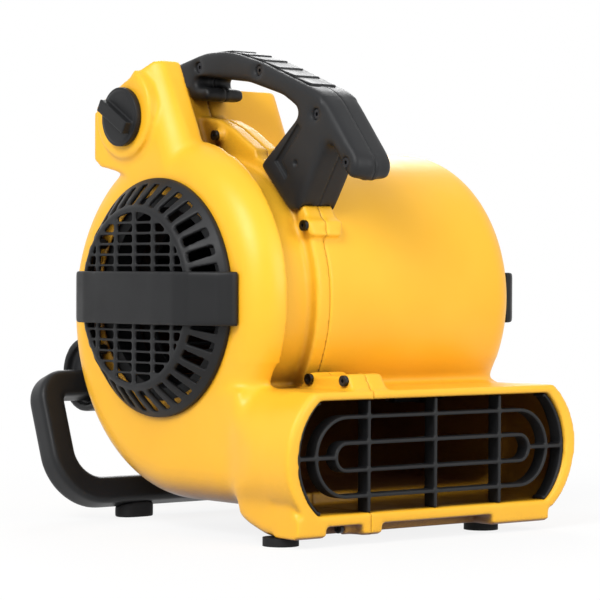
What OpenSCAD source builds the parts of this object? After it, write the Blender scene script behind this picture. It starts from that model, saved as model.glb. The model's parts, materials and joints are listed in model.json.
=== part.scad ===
// Compact centrifugal air mover: a double inlet squirrel cage blower in a two-part scroll housing,
// with a carry handle, a speed knob and a folding rear stand. Millimetres, +Z up, outlet towards -Y.
// The origin is on the floor, at the middle of the whole object's box.

/* [Housing] */
// Height of the impeller's axis above the floor
axis_z = 161; // [158:1:164]
// Scroll radius at the front, where the scroll starts
scroll_r = 104.1; // [102:0.5:105]
// Radius of the bulging side cap at the front
cap_r = 108.7; // [107:0.5:110]
// How much the scroll radius grows with each quarter turn
scroll_step = 10; // [8:0.5:11]
// Thickness of the moulded shells
wall = 3; // [2.5:0.1:3.5]
// From the seam to the left face
left_len = 66; // [64:1:68]
// From the seam to the right face
right_len = 177.5; // [174:0.5:184]
// Rounding of the left cap from its face to its edge
cap_round = 26; // [24:1:27]
// Rounding of the right end of the drum
drum_round = 25; // [18:1:25]
// Half width of the raised band along the seam
band_half = 11; // [9:0.5:13]
// Depth of the groove between the band and the left cap
groove_depth = 8.6; // [6:0.5:9]

/* [Outlet] */
// From the seam to the middle of the outlet mouth and of the stand
mouth_x = 58; // [56:0.5:59]
// Clear height of the outlet mouth
mouth_h = 74.5; // [70:0.5:78]
// Clear width of the mouth between the ends of its straight lips
mouth_w = 205.7; // [198:0.5:210]
// How far each end of the mouth bulges past its straight lips
mouth_bulge = 18; // [14:0.5:20]
// Height of the mouth's middle above the floor
mouth_z = 58; // [57:0.5:60]
// From the impeller's axis forward to the outlet lip
mouth_y = 149.5; // [146:0.5:154]
// Thickness of the lip above and below the mouth
lip = 5.8; // [5:0.1:7]
// Extra thickness of the lip at the two bulging ends
lip_side = 4; // [2:0.5:5]
// Underside of the housing above the floor
belly_z = 5.8; // [5:0.1:6.4]

/* [Outlet grille] */
// Thickness of the grille's bars, seen from the front
bar = 2.6; // [2:0.1:3.5]
// Depth of the grille's bars along the air
bar_depth = 11; // [8:0.5:13]
// Height of the outer ring bar
ring_outer_h = 54.6; // [50:0.5:58]
// Height of the inner ring bar
ring_inner_h = 20.6; // [16:0.5:24]
// Spacing of the upright bars
upright_pitch = 59.2; // [55:0.5:62]
// How far the grille sits behind the lip
grille_set = 3.5; // [2:0.5:6]

/* [Inlet grilles] */
// Outer radius of each inlet grille
grille_r = 82; // [80:0.5:82.5]
// Radius of the raised flat face
face_r = 64; // [60:0.5:66]
// Height of the raised face above the rim
face_rise = 18.6; // [16:0.2:20]
// Thickness of the grille's skin
skin = 2.4; // [2:0.1:3]
// Number of slots around the flank
slots = 36; // [30:1:40]
// Width of each slot
slot_w = 7; // [5:0.5:7.5]
// Height of the rim above the housing's face
rim_h = 3.4; // [3:0.1:4]
// Height of the plain band across each grille
band_h = 36; // [32:1:40]
// Height of the band's face above the rim
band_rise = 25; // [23.5:0.5:27]
// Radius of the inlet hole in the housing
inlet_r = 70; // [68:0.5:72]
// Inner radius of the inlet ring's throat
throat_r = 62; // [60:0.5:63]

/* [Impeller and motor] */
// Outer radius of the impeller
wheel_r = 74; // [72:0.5:76]
// Inner radius of its blades
blade_in_r = 61; // [59:0.5:63]
// Number of blades on each side
blades = 36; // [30:1:40]
// From the seam to the impeller's middle plate
plate_x = 52; // [48:1:56]
// Half the impeller's length
wheel_half = 82; // [78:1:84]
// Radius of the motor's can
motor_r = 41; // [38:0.5:43]
// Length of the motor's can
motor_len = 46; // [42:1:50]
// Radius of the motor's shaft
shaft_r = 4; // [3.5:0.25:4.5]
// Air gap between the rotor and the stator
air_gap = 0.6; // [0.4:0.1:1]

/* [Handle] */
// Width of the handle
handle_w = 34; // [31:1:36]
// Number of treads along the handle's grip pad
tread_count = 6; // [4:1:8]
// How far each tread rises towards its front
tread_rise = 1.1; // [0.6:0.1:1.6]
// Depth of the screw pockets in the handle's left side
pocket = 3; // [2:0.5:4]

/* [Control pod] */
// Height of the pod's top above the floor
pod_z = 325; // [321:1:326]
// Half width of the pod's rear block, to the right of the seam
pod_right = 70; // [66:1:74]
// Lean of the pod's front faces from upright, in degrees
pod_lean = 24.4; // [23:0.2:25]
// Radius of the speed knob
knob_r = 20.5; // [18:0.5:22]
// Height of the speed knob
knob_h = 9; // [7:0.5:11]
// Position of the knob's axis behind the impeller's axis
knob_y = 35; // [33:0.5:37]
// Height of the knob's axis above the floor
knob_z = 286; // [284:0.5:288]

/* [Stand] */
// Radius of the stand's pivot hubs
hub_r = 27; // [25:0.5:28]
// From the impeller's axis back to the pivots
hub_y = 135.5; // [134:0.5:138]
// Height of the pivots above the floor
hub_z = 103; // [101:0.5:104]
// Side of the stand's square tube
tube = 20; // [18:0.5:21]
// Distance from the pivots to the middle of the crossbar
stand_reach = 89.4; // [88:0.2:91]
// Lean of the resting stand from upright, in degrees
stand_lean = 20; // [18:0.5:21]
// Overall width of the stand
stand_w = 280; // [272:1:288]
// Middle radius of the lower bends
bend_low = 30; // [26:1:34]
// Middle radius of the upper bends
bend_top = 13; // [12:0.5:15]
// Radius of the pivot bolts
pivot_r = 5; // [4:0.5:6]

/* [Feet] */
// Radius of the front feet
foot_r = 12; // [11:0.5:13]
// From the impeller's axis forward to the front feet
foot_y = 118; // [114:1:124]
// From the seam out to the left front foot
left_foot_x = 53.7; // [50:0.5:54]
// From the seam out to the right front foot
right_foot_x = 125.8; // [118:0.5:132]

/* [Clearances] */
// Gap between fixed pieces that seat on each other
seat = 0.2; // [0.1:0.05:0.3]
// Radial clearance of turning shafts and bolts
run = 0.06; // [0.03:0.01:0.09]
// Gap between pieces that move past each other
free = 0.5; // [0.4:0.1:0.8]

/* [Hidden] */
$fn = 96;

// Colours of the finishes
yellow = [0.98, 0.72, 0.16];
black = [0.15, 0.15, 0.16];
rubber = [0.09, 0.09, 0.1];
steel = [0.72, 0.73, 0.75];
dark_steel = [0.12, 0.12, 0.13];

// Overall reach from the seam and from the impeller's axis, which centres the object on the origin
left_reach = left_len + rim_h + band_rise;
right_reach = right_len + rim_h + band_rise;
seam_x = (left_reach - right_reach) / 2;
axis_y = (mouth_y - hub_y - hub_r) / 2;

// Scroll: each quarter turn has its own centre and radius, tangent to the last
// quarter 1 runs from the front to the top, 2 to the rear, 3 to the bottom, 0 is below the front
function quarter_y(i) = i < 3 ? 0 : -scroll_step;
function quarter_z(i) = i < 2 ? 0 : -scroll_step;
function quarter_grow(i) = i < 2 ? 0 : (i - 1) * scroll_step;
floor_z = axis_z - cap_r - 3 * scroll_step;
groove_r = scroll_r - groove_depth;
cap_edge = left_len - cap_round;

// Mouth outline
duct_h = mouth_h + 2 * lip;
lip_bulge = mouth_bulge + lip_side;

// Puts a piece drawn from the seam and the impeller's axis into the object's frame
module in_place() {
    translate([seam_x, axis_y, 0])
    children();
}

// Turns a flat outline drawn in (y, z) into a plate from x0 to x1
module along_x(x0, x1) {
    translate([x0, 0, 0])
    rotate([90, 0, 90])
    linear_extrude(x1 - x0)
    children();
}

// Turns a flat outline drawn in (x, z) into a bar from y0 to y1
module along_y(y0, y1) {
    translate([0, y1, 0])
    rotate([90, 0, 0])
    linear_extrude(y1 - y0)
    children();
}

// A round bar along X at (y, z)
module x_rod(r, x0, x1, y = 0, z = 0) {
    translate([x0, y, z])
    rotate([0, 90, 0])
    cylinder(r = r, h = x1 - x0);
}

// A tube along X at (y, z)
module x_tube(r_out, r_in, x0, x1, y = 0, z = 0) {
    difference() {
        x_rod(r_out, x0, x1, y, z);
        x_rod(r_in, x0 - 1, x1 + 1, y, z);
    }
}

// A flat outline drawn as (radius, x), turned about the X axis; angles start at the front and climb
module turned_span(from, span) {
    rotate([0, 90, 0])
    rotate([0, 0, 270 - from - span])
    rotate_extrude(angle = span)
    children();
}

// Points of an outline whose corners [y, z, radius] are rounded
function unit(v) = v / norm(v);
function corner(p, i, steps) =
    let (n = len(p), at = p[i], before = p[(i + n - 1) % n], after = p[(i + 1) % n],
        a = unit([before[0] - at[0], before[1] - at[1]]), b = unit([after[0] - at[0], after[1] - at[1]]),
        half = acos(a * b) / 2, reach = at[2] / tan(half), mid = unit(a + b) * at[2] / sin(half),
        c = [at[0], at[1]] + mid, s = [at[0], at[1]] + a * reach - c, e = [at[0], at[1]] + b * reach - c,
        turn = 180 - 2 * half, way = sign(s[0] * e[1] - s[1] * e[0]))
    at[2] <= 0 ? [[at[0], at[1]]] :
    [for (k = [0 : steps]) let (w = way * turn * k / steps)
        c + [s[0] * cos(w) - s[1] * sin(w), s[0] * sin(w) + s[1] * cos(w)]];
function rounded(p, steps = 6) = [for (i = [0 : len(p) - 1]) each corner(p, i, steps)];

// The same outline turned for each quarter of the scroll, grown by $grow in the later quarters
module scroll_quarters(first, last) {
    for (i = [first : last]) {
        $grow = quarter_grow(i);
        translate([0, quarter_y(i), axis_z + quarter_z(i)])
        turned_span(90 * (i - 1), 90)
        children();
    }
}

// Outline of half a drum as (radius, x), from the face at x_face inwards to x_in, its outer corner round
module round_end(r, x_face, x_in, rnd) {
    way = x_in > x_face ? 1 : -1;
    x_mid = x_face + way * rnd;
    translate([0, min(x_face, x_in)])
    square([r - rnd, abs(x_in - x_face)]);
    if (abs(x_in - x_mid) > 0.01)
        translate([0, min(x_mid, x_in)])
        square([r, abs(x_in - x_mid)]);
    intersection() {
        translate([r - rnd, x_mid])
        circle(r = rnd);
        translate([r - rnd - 1, min(x_face, x_mid)])
        square([rnd + 1, rnd]);
    }
}

// Outline of the mouth: straight lips w long, h apart, and ends that bulge; x measured from its middle
// each arc starts a little past the lip's end, so that no edge falls on a corner
arc_start = 0.3;
module mouth_outline(w, h, bulge) {
    rise = bulge - arc_start;
    r = (h * h / 4 + rise * rise) / (2 * rise);
    square([w, h], center = true);
    for (side = [-1, 1])
        intersection() {
            translate([side * (w / 2 + bulge - r), 0])
            circle(r = r);
            translate([side * (w / 2 + bulge / 2 - 0.5), 0])
            square([bulge + 1, h], center = true);
        }
}

// Stadium outline of a given height between x0 and x1
module stadium(x0, x1, h) {
    translate([x0 + h / 2, -h / 2])
    square([x1 - x0 - h, h]);
    for (x = [x0 + h / 2, x1 - h / 2])
        translate([x, 0])
        circle(r = h / 2);
}

// ---------- housing ----------

duct_top = mouth_z + duct_h / 2;
duct_floor = mouth_z - duct_h / 2;
front_lean = 3.1; // how far the front face leans back from the lip's top to the floor
duct_back = 62; // how far behind the lip the duct's walls run into the scroll
throat_front = -mouth_y + duct_back - 1; // where the throat's front wall stands
throat_y = scroll_step; // where the scroll's floor straightens, in front of the axis

// Left half of the scroll's outside, or of its cavity when t is the wall
module left_scroll(t) {
    scroll_quarters(0, 2) {
        round_end(cap_r + $grow - t, -left_len + t, -cap_edge - t, cap_round - t);
        translate([0, -cap_edge - t - 0.01])
        square([groove_r + $grow - t, cap_edge - band_half + 2 * t + 0.02]);
        translate([0, -band_half + t])
        square([scroll_r + $grow - t, band_half - t]);
    }
    scroll_quarters(3, 3) {
        round_end(cap_r + $grow - t, -left_len + t, -cap_edge - t, cap_round - t);
        translate([0, -cap_edge - t - 0.01])
        square([scroll_r + $grow - t, cap_edge + t + 0.01]);
    }
}

// Right half of the scroll's outside, or of its cavity when t is the wall
module right_scroll(t) {
    scroll_quarters(0, 3)
    round_end(scroll_r + $grow - t, right_len - t, 0, drum_round - t);
}

// The throat under the drum, where the scroll opens into the outlet duct, drawn in (x, z)
module left_throat(t) {
    low = floor_z + t;
    translate([-left_len + t, low + cap_round - t])
    square([left_len - t, duct_top - low - cap_round]);
    translate([-cap_edge - t, low + cap_r - scroll_r])
    square([cap_edge + t, duct_top - t - low - (cap_r - scroll_r)]);
    intersection() {
        translate([-cap_edge, low + cap_round - t])
        circle(r = cap_round - t);
        translate([-left_len, low - 1])
        square([cap_round - t + 0.01, cap_round + 1]);
    }
}

module right_throat(t) {
    low = floor_z + cap_r - scroll_r + t;
    translate([0, low + drum_round - t])
    square([right_len - t, duct_top - t - low - drum_round + t]);
    translate([0, low])
    square([right_len - drum_round, drum_round]);
    intersection() {
        translate([right_len - drum_round, low + drum_round - t])
        circle(r = drum_round - t);
        translate([right_len - drum_round - 0.01, low - 1])
        square([drum_round, drum_round + 1]);
    }
}

// Keeps the part of an (x, z) outline on one side of the seam
module one_side(side) {
    intersection() {
        children();
        translate([side > 0 ? 0 : -400, 0])
        square([400, 400]);
    }
}

module duct_outline() {
    translate([mouth_x, mouth_z])
    mouth_outline(mouth_w + 2 * lip, duct_h, lip_bulge);
}

module clear_mouth() {
    translate([mouth_x, mouth_z])
    mouth_outline(mouth_w, mouth_h, mouth_bulge);
}

lip_low = 13.2; // underside of the lip between the foot blocks
lip_depth = 24; // and how deep it is

// Foot block under the duct, drawn in (y, z)
module base_outline() {
    polygon([[-mouth_y, duct_floor + 2], [-mouth_y, belly_z + 3], [-mouth_y + 6, belly_z],
        [-foot_y + 6, belly_z], [-foot_y + 26, belly_z + 6.5], [-foot_y + 36, belly_z + 11.5],
        [-foot_y + 38, floor_z + 12], [-mouth_y + 20, floor_z + 12]]);
}

// Tall rear side of the control pod, drawn in (y, z); t shrinks it for the cavity
module pod_outline(t) {
    polygon([[-24 + 1.1 * t, 236], [-24 + 1.1 * t, 250], [12 + 0.65 * t, pod_z - t], [17, pod_z - t],
        [30 - 0.6 * t, 313.5 - t], [79 - t, 291 - 0.8 * t], [79 - t, 258 + 0.6 * t], [72, 252.5 + t],
        [42, 246.5 + t], [30, 236]]);
}

// Plan of the pod, leaning back with its front faces: the left block stands forward, the rest is set back
pod_set_back = 32;
pod_left_round = 22;
pod_right_round = 12;
module leaning_plan(z_at, y_at) {
    translate([0, y_at, z_at])
    rotate([-pod_lean, 0, 0])
    translate([0, 0, -90])
    linear_extrude(150)
    children();
}

module left_pod(t) {
    intersection() {
        along_x(-left_len + t, -cap_edge - t + (t > 0 ? 0 : 0.01))
        pod_outline(t);
        leaning_plan(305, 0) {
            translate([-left_len + pod_left_round, t])
            square([left_len, 120]);
            translate([-left_len + t, pod_left_round])
            square([left_len, 120]);
            translate([-left_len + pod_left_round, pod_left_round])
            circle(r = pod_left_round - t);
        }
    }
    intersection() {
        along_x(-cap_edge - t - 0.01, 0)
        pod_outline(t);
        leaning_plan(305, 0)
        translate([-left_len, pod_set_back + t])
        square([left_len + 1, 120]);
    }
}

module right_pod(t) {
    intersection() {
        along_x(0, pod_right - t)
        pod_outline(t);
        leaning_plan(305, 0) {
            translate([-1, pod_set_back + t])
            square([pod_right - pod_right_round + 1, 120]);
            translate([-1, pod_set_back + pod_right_round])
            square([pod_right + 1 - t, 120]);
            translate([pod_right - pod_right_round, pod_set_back + pod_right_round])
            circle(r = pod_right_round - t);
        }
    }
}

// Lug that carries one side of the stand, from x0 to x1
lug_r = hub_r - 1;
lug_w = 18;
lug_in = 3; // from the seam to the inner side of the left lug
left_lug_x = -lug_in - lug_w;
right_lug_x = 2 * mouth_x + lug_in;
module stand_lug(x0) {
    difference() {
        union() {
            x_rod(lug_r, x0, x0 + lug_w, hub_y, hub_z);
            along_x(x0, x0 + lug_w)
            polygon([[hub_y, hub_z + lug_r], [98, hub_z + lug_r + 12], [98, hub_z - lug_r + 8],
                [hub_y, hub_z - lug_r]]);
        }
        x_rod(pivot_r, x0 - 1, x0 + lug_w + 1, hub_y, hub_z);
    }
}

// Seam screws: [y, z] of each, and the size of its boss
function on_scroll(a, out) = [-(scroll_r + out) * cos(a), axis_z + (scroll_r + out) * sin(a)];
platform_z = duct_top + 9;
shell_screw_spots = [on_scroll(27.3, 3), [-101, platform_z - 2.5], [-137, platform_z - 2.5], [-133, 10.5],
    on_scroll(91.5, 9)];
screw_boss_r = 4.6;
screw_r = 1.7;
screw_head_r = 3.6;
screw_len = 26;
module screw_bosses(x0, x1) {
    for (s = shell_screw_spots)
        x_rod(screw_boss_r, x0, x1, s[0], s[1]);
    along_x(x0, x1)
    polygon([[-144, duct_top - 2], [-144, platform_z - 5], [-138, platform_z], [-97, platform_z],
        [-90, platform_z - 6], [-90, duct_top - 2]]);
}

module screw_holes(x0, x1, r) {
    for (s = shell_screw_spots)
        x_rod(r, x0, x1, s[0], s[1]);
}

// Flat bosses under the duct that the front feet are screwed to
foot_screw_r = 2;
module foot_hole(x) {
    translate([x, -foot_y, belly_z - 1])
    cylinder(r = foot_screw_r, h = 11);
}

// Front face of the duct and base, which leans back towards the floor
module front_cut() {
    along_x(-120, 220)
    polygon([[-mouth_y - 12, -1], [-mouth_y + front_lean, -1], [-mouth_y, duct_top],
        [-mouth_y - front_lean, 2 * duct_top + 1], [-mouth_y - 12, 2 * duct_top + 1]]);
}

// Plan of the duct, whose side walls draw in towards the scroll; t shrinks it for the cavity
module duct_plan(t) {
    linear_extrude(120)
    polygon([[-left_len - 9 + t, -mouth_y - 4], [right_len + 14 - t, -mouth_y - 4],
        [right_len + 14 - t, -mouth_y + 26], [right_len + 1 - t, throat_front + 2 * wall + 1],
        [-left_len - 1 + t, throat_front + 2 * wall + 1], [-left_len - 9 + t, -mouth_y + 26]]);
}

module duct_half(side) {
    intersection() {
        along_y(-mouth_y - 3, throat_front + 2 * wall)
        one_side(side)
        duct_outline();
        duct_plan(0);
    }
}

// Air passage of the duct, up to the throat
module duct_cavity(side) {
    intersection() {
        along_y(-mouth_y - 4, throat_front + wall)
        one_side(side)
        clear_mouth();
        duct_plan(wall);
    }
}

// Foot block at each end, and a thinner lip between them that only the seam's tab and a screw boss interrupt
block_w = 25;
block_at = right_foot_x - foot_r - 4;
tab_left = 7;
tab_right = 10;
module base(x0, x1) {
    along_x(x0, x1)
    base_outline();
}

module lip_base(x0, x1) {
    along_x(x0, x1)
    difference() {
        base_outline();
        translate([-mouth_y - 1, belly_z - 1])
        square([lip_depth + 1, lip_low - belly_z + 1]);
    }
}

// Raised tab that ends the band under the handle, and the tab in front of the pod
tab_r = scroll_r + 5.4;
tab_half = 13;
tab_low = axis_z + 0.403 * scroll_r;
tab_high = axis_z + 0.605 * scroll_r;
module seam_tabs(x0, x1) {
    intersection() {
        x_rod(tab_r, x0, x1, 0, axis_z);
        along_x(x0, x1)
        translate([-scroll_r, tab_low])
        square([0.2 * scroll_r, tab_high - tab_low]);
    }
    along_x(max(x0, -band_half), min(x1, band_half))
    polygon([[30, 289], [6, 285], [-9, 279], [-36, 263], [-36, 255], [20, 258]]);
}

module left_shell() {
    color(yellow)
    in_place()
    difference() {
        union() {
            difference() {
                union() {
                    left_pod(0);
                    intersection() {
                        x_rod(boss_r, -left_len - boss_rise, -left_len + 2, boss_y, boss_z);
                        along_x(-left_len - boss_rise, -left_len + 2)
                        pod_outline(0);
                    }
                }
                left_pod(wall);
            }
            left_scroll(0);
            along_y(throat_front, -throat_y)
            left_throat(0);
            duct_half(-1);
            base(-left_len + 3, -left_len + 3 + block_w);
            lip_base(-left_len + 3 + block_w, -tab_left);
            base(-tab_left, 0);
            stand_lug(left_lug_x);
            seam_tabs(-tab_half, 0);
            screw_bosses(-band_half - 4, 0);
        }
        left_scroll(wall);
        along_y(throat_front + wall, -throat_y)
        left_throat(wall);
        duct_cavity(-1);
        front_cut();
        x_rod(inlet_r, -left_len - 1, -left_len + wall + 1, 0, axis_z);
        x_rod(knob_bush_r + seat, -left_len - boss_rise - 1, -left_len + wall + 1, knob_y, knob_z);
        screw_holes(-band_half - 5, 1, screw_r);
        screw_holes(-band_half - 12, -band_half - 4, screw_head_r + free);
        foot_hole(-left_foot_x);
        grille_screw_holes(-left_len - 1, -left_len + wall + 1);
        translate([gland_x, gland_wall_y - wall - 2, gland_z])
        rotate([-90, 0, 0])
        cylinder(r = gland_r + seat, h = wall + 4);
    }
}

module right_shell() {
    color(yellow)
    in_place()
    difference() {
        union() {
            difference() {
                right_pod(0);
                right_pod(wall);
            }
            right_scroll(0);
            along_y(throat_front, -throat_y)
            right_throat(0);
            duct_half(1);
            base(0, tab_right);
            lip_base(tab_right, block_at);
            base(block_at, mouth_x + mouth_w / 2 + 3);
            stand_lug(right_lug_x);
            seam_tabs(0, tab_half);
            screw_bosses(0, band_half + 4);
        }
        right_scroll(wall);
        along_y(throat_front + wall, -throat_y)
        right_throat(wall);
        duct_cavity(1);
        front_cut();
        x_rod(inlet_r, right_len - wall - 1, right_len + 1, 0, axis_z);
        screw_holes(-1, band_half + 1.5, screw_r);
        foot_hole(right_foot_x);
        grille_screw_holes(right_len - wall - 1, right_len + 1);
        at_arms()
        x_rod(screw_r, right_len - wall - 1, right_len - 0.6);
        wire(leads_drop, 4);
    }
}

// ---------- switch, gland and wires: places that the shells share ----------

boss_r = 32; // raised disc around the knob
boss_rise = 5;
boss_y = 38;
boss_z = 289;
knob_bush_r = 4.5;
gland_r = 8;
gland_x = -28;
gland_wall_y = 79;
gland_z = 274;
lead_r = 2.2;
lead_y = 11; // where the leads enter the motor, from its axis
lead_z = 26;
leads_drop = [[60, 38, 278], [60, 30.1, 251.6]];

// A round wire through the given points
module wire(p, r) {
    for (i = [0 : len(p) - 2]) {
        d = p[i + 1] - p[i];
        translate(p[i])
        rotate([0, acos(d[2] / norm(d)), atan2(d[1], d[0])])
        cylinder(r = r, h = norm(d), $fn = 32);
    }
    if (len(p) > 2)
        for (i = [1 : len(p) - 2])
            translate(p[i])
            sphere(r = r + 0.15, $fn = 32);
}

// Places of the motor bracket's four arms
arm_r = 73;
module at_arms() {
    for (a = [0, 90, 180, 270])
        translate([0, -arm_r * cos(a), axis_z + arm_r * sin(a)])
        children();
}

// ---------- inlets ----------

grille_screw_a = 30; // grille screws stand this many degrees above and below the middle
grille_screw_at = 74;
module at_grille_screws() {
    for (a = [grille_screw_a, 180 - grille_screw_a, 180 + grille_screw_a, 360 - grille_screw_a])
        translate([0, -grille_screw_at * cos(a), axis_z + grille_screw_at * sin(a)])
        children();
}

module grille_screw_holes(x0, x1) {
    at_grille_screws()
    x_rod(screw_r, x0, x1);
}

// One inlet grille, drawn with its rim's seat at x = 0 and its face towards -X
slot_in = face_r - 0.5;
slot_out = grille_r - 4.5;
lattice_v = 21.5; // pitch of the upright bars in the face
lattice_h = 7.3; // pitch of the level bars in the face
module grille_skin(t) {
    // (radius, x) outline from the rim over the flank to the face
    polygon([[grille_r - t, 0], [grille_r - t, -rim_h + t * 0.4], [face_r + 3 - t, -rim_h - face_rise + 4 + t],
        [face_r - 3, -rim_h - face_rise + t], [0, -rim_h - face_rise + t], [0, 0]]);
}

module inlet_grille() {
    difference() {
        union() {
            difference() {
                turned_span(0, 360)
                grille_skin(0);
                turned_span(0, 360)
                grille_skin(skin);
                x_rod(face_r - 6, -rim_h - face_rise - 1, -rim_h - face_rise + skin + 1);
            }
            intersection() {
                x_rod(face_r - 5, -rim_h - face_rise, -rim_h - face_rise + skin);
                union() {
                    for (i = [-2 : 2])
                        translate([-rim_h - face_rise, i * lattice_v - 2, -face_r])
                        cube([skin, 4, 2 * face_r]);
                    for (i = [-7 : 7])
                        translate([-rim_h - face_rise, -face_r, i * lattice_h - 1])
                        cube([skin - 0.6, 2 * face_r, 2]);
                }
            }
            at_grille_bosses()
            x_rod(3.6, -rim_h - 4, -seat);
        }
        for (i = [0 : slots - 1]) {
            a = (i + 0.5) * 360 / slots;
            if (abs(sin(a)) * grille_r > band_h / 2 + 3)
                rotate([-a, 0, 0])
                translate([-rim_h - face_rise - 1, slot_in, -slot_w / 2])
                cube([face_rise + rim_h - 1.5, slot_out - slot_in, slot_w]);
        }
        at_grille_bosses()
        x_rod(screw_r, -rim_h - 3.2, 1);
    }
}

module at_grille_bosses() {
    for (a = [grille_screw_a, 180 - grille_screw_a, 180 + grille_screw_a, 360 - grille_screw_a])
        translate([0, -grille_screw_at * cos(a), grille_screw_at * sin(a)])
        children();
}

module left_inlet_grille() {
    color(black)
    in_place()
    translate([-left_len - seat, 0, axis_z])
    inlet_grille();
}

module right_inlet_grille() {
    color(black)
    in_place()
    translate([right_len + seat, 0, axis_z])
    mirror([1, 0, 0])
    inlet_grille();
}

// Plain arched band across a grille, drawn with the rim's seat at x = 0 and its face towards -X
band_t = 3;
band_flat = 52; // half length of the band's flat middle
band_reach = 88.5; // half length of the whole band
module band_outline(t) {
    // (y, x-depth) outline of the arch, x-depth growing outwards
    polygon([[-band_reach + t, 0], [-band_reach + t, 5 - t * 0.3], [-band_reach + 7, 13 - t],
        [-band_flat - 12, rim_h + band_rise - 4 - t], [-band_flat, rim_h + band_rise - 1 - t],
        [-band_flat + 22, rim_h + band_rise - t], [band_flat - 22, rim_h + band_rise - t],
        [band_flat, rim_h + band_rise - 1 - t], [band_flat + 12, rim_h + band_rise - 4 - t],
        [band_reach - 7, 13 - t], [band_reach - t, 5 - t * 0.3], [band_reach - t, 0]]);
}

module inlet_band() {
    difference() {
        translate([0, 0, -band_h / 2])
        rotate([0, 0, 90])
        linear_extrude(band_h)
        band_outline(0);
        translate([0, 0, -band_h / 2 + band_t])
        rotate([0, 0, 90])
        linear_extrude(band_h - 2 * band_t)
        band_outline(band_t);
        turned_span(0, 360)
        grille_clearance();
    }
}

// Space that the grille fills under its band
module grille_clearance() {
    polygon([[grille_r + seat, 1], [grille_r + seat, -rim_h - 0.2], [face_r + 3.2, -rim_h - face_rise + 4 - seat],
        [face_r - 3, -rim_h - face_rise - seat], [0, -rim_h - face_rise - seat], [0, 1]]);
}

module left_band() {
    color(black)
    in_place()
    translate([-left_len - seat, 0, axis_z])
    inlet_band();
}

module right_band() {
    color(black)
    in_place()
    translate([right_len + seat, 0, axis_z])
    mirror([1, 0, 0])
    inlet_band();
}

// Inlet ring: a flange inside the side wall and a throat that reaches towards the impeller
ring_flange = 2.2;
ring_reach = 22;
module inlet_ring(face_in, way) {
    // face_in is the inside of the side wall, way points into the housing
    x0 = face_in + way * seat;
    difference() {
        union() {
            x_rod(inlet_r + 9, min(x0, x0 + way * ring_flange), max(x0, x0 + way * ring_flange), 0, axis_z);
            x_rod(throat_r + 2.2, min(x0, x0 + way * ring_reach), max(x0, x0 + way * ring_reach), 0, axis_z);
        }
        x_rod(throat_r, face_in - 40, face_in + 40, 0, axis_z);
        grille_screw_holes(face_in - 8, face_in + 8);
        if (way < 0)
            at_arms()
            x_rod(screw_r + seat, face_in - 8, face_in + 8);
    }
}

module left_inlet_ring() {
    color(black)
    in_place()
    inlet_ring(-left_len + wall, 1);
}

module right_inlet_ring() {
    color(black)
    in_place()
    inlet_ring(right_len - wall, -1);
}

// Screws that hold the rings and grilles, put in from inside the housing
module grille_screws() {
    color(steel)
    in_place() {
        at_grille_screws() {
            x_rod(screw_r, -left_len - seat - rim_h - 2.6, -left_len + wall + ring_flange + 2 * seat);
            x_rod(3.6, -left_len + wall + ring_flange + 2 * seat, -left_len + wall + ring_flange + 2.6);
        }
        at_grille_screws() {
            x_rod(screw_r, right_len - wall - ring_flange - 2 * seat, right_len + seat + rim_h + 2.6);
            x_rod(3.6, right_len - wall - ring_flange - 2.6, right_len - wall - ring_flange - 2 * seat);
        }
    }
}

// ---------- outlet grille ----------

ring_outer_half = 105.5; // half length of the outer ring bar
ring_inner_half = 88.6;
grille_y = -mouth_y + grille_set;

module bars_outline() {
    for (s = [[ring_outer_half, ring_outer_h], [ring_inner_half, ring_inner_h]])
        difference() {
            stadium(-s[0], s[0], s[1]);
            stadium(-s[0] + bar, s[0] - bar, s[1] - 2 * bar);
        }
    for (x = [-upright_pitch, 0, upright_pitch])
        translate([x - bar / 2, -mouth_h / 2 + seat])
        square([bar, mouth_h - 2 * seat]);
    for (x = [-mouth_w / 2 - mouth_bulge + 1, ring_inner_half - bar])
        translate([x, -bar / 2])
        square([mouth_w / 2 + mouth_bulge - ring_inner_half + bar - 1, bar]);
    difference() {
        mouth_outline(mouth_w - 2 * seat, mouth_h - 2 * seat, mouth_bulge);
        mouth_outline(mouth_w - 2 * seat, mouth_h - 2 * bar, mouth_bulge - bar);
        square([mouth_w - 4, mouth_h + 1], center = true);
    }
}

module outlet_grille() {
    color(black)
    in_place()
    translate([mouth_x, 0, mouth_z])
    along_y(grille_y, grille_y + bar_depth)
    bars_outline();
}

// ---------- handle ----------

handle_points = [[54, 325, 0], [14, 333.2, 80], [-12, 332.2, 100], [-47, 322.5, 100], [-112, 298, 40],
    [-152.5, 249, 11], [-141.5, 235.5, 6], [-118.6, 266.3, 3], [-88.5, 220, 2], [-78, 219.8, 8],
    [-46.3, 251.9, 2], [-91, 286.5, 5], [-70, 298.5, 30], [-31.6, 309.5, 40], [26, 316.5, 3], [26, 308.5, 3],
    [12, 308.5, 4], [10, 298.5, 4], [22, 299, 8], [42, 302, 0]];
handle_screw_spots = [[23.2, 322.7], [-44.8, 316.7], [-106, 284], [-136, 251]];
handle_foot_r = scroll_r + seat;
pad_y0 = -96;
pad_y1 = 8;
pad_t = 1.6;
pad_w = 22;

module handle_half(x0, x1) {
    difference() {
        along_x(x0, x1)
        polygon(rounded(handle_points, 4));
        x_rod(handle_foot_r, -band_half - seat, x1 + 1, 0, axis_z);
        x_rod(groove_r + seat, x0 - 1, x1 + 1, 0, axis_z);
        handle_tab_room();
        pad_room(-pad_w / 2, pad_w / 2);
        intersection() {
            along_x(-handle_w, handle_w)
            pod_outline(-seat);
            leaning_plan(305, 0)
            translate([-60, pod_set_back - seat])
            square([120, 120]);
        }
        for (s = handle_screw_spots)
            x_rod(screw_r, -handle_w / 2 - 1, handle_w / 2 - 4, s[0], s[1]);
    }
}

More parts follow.
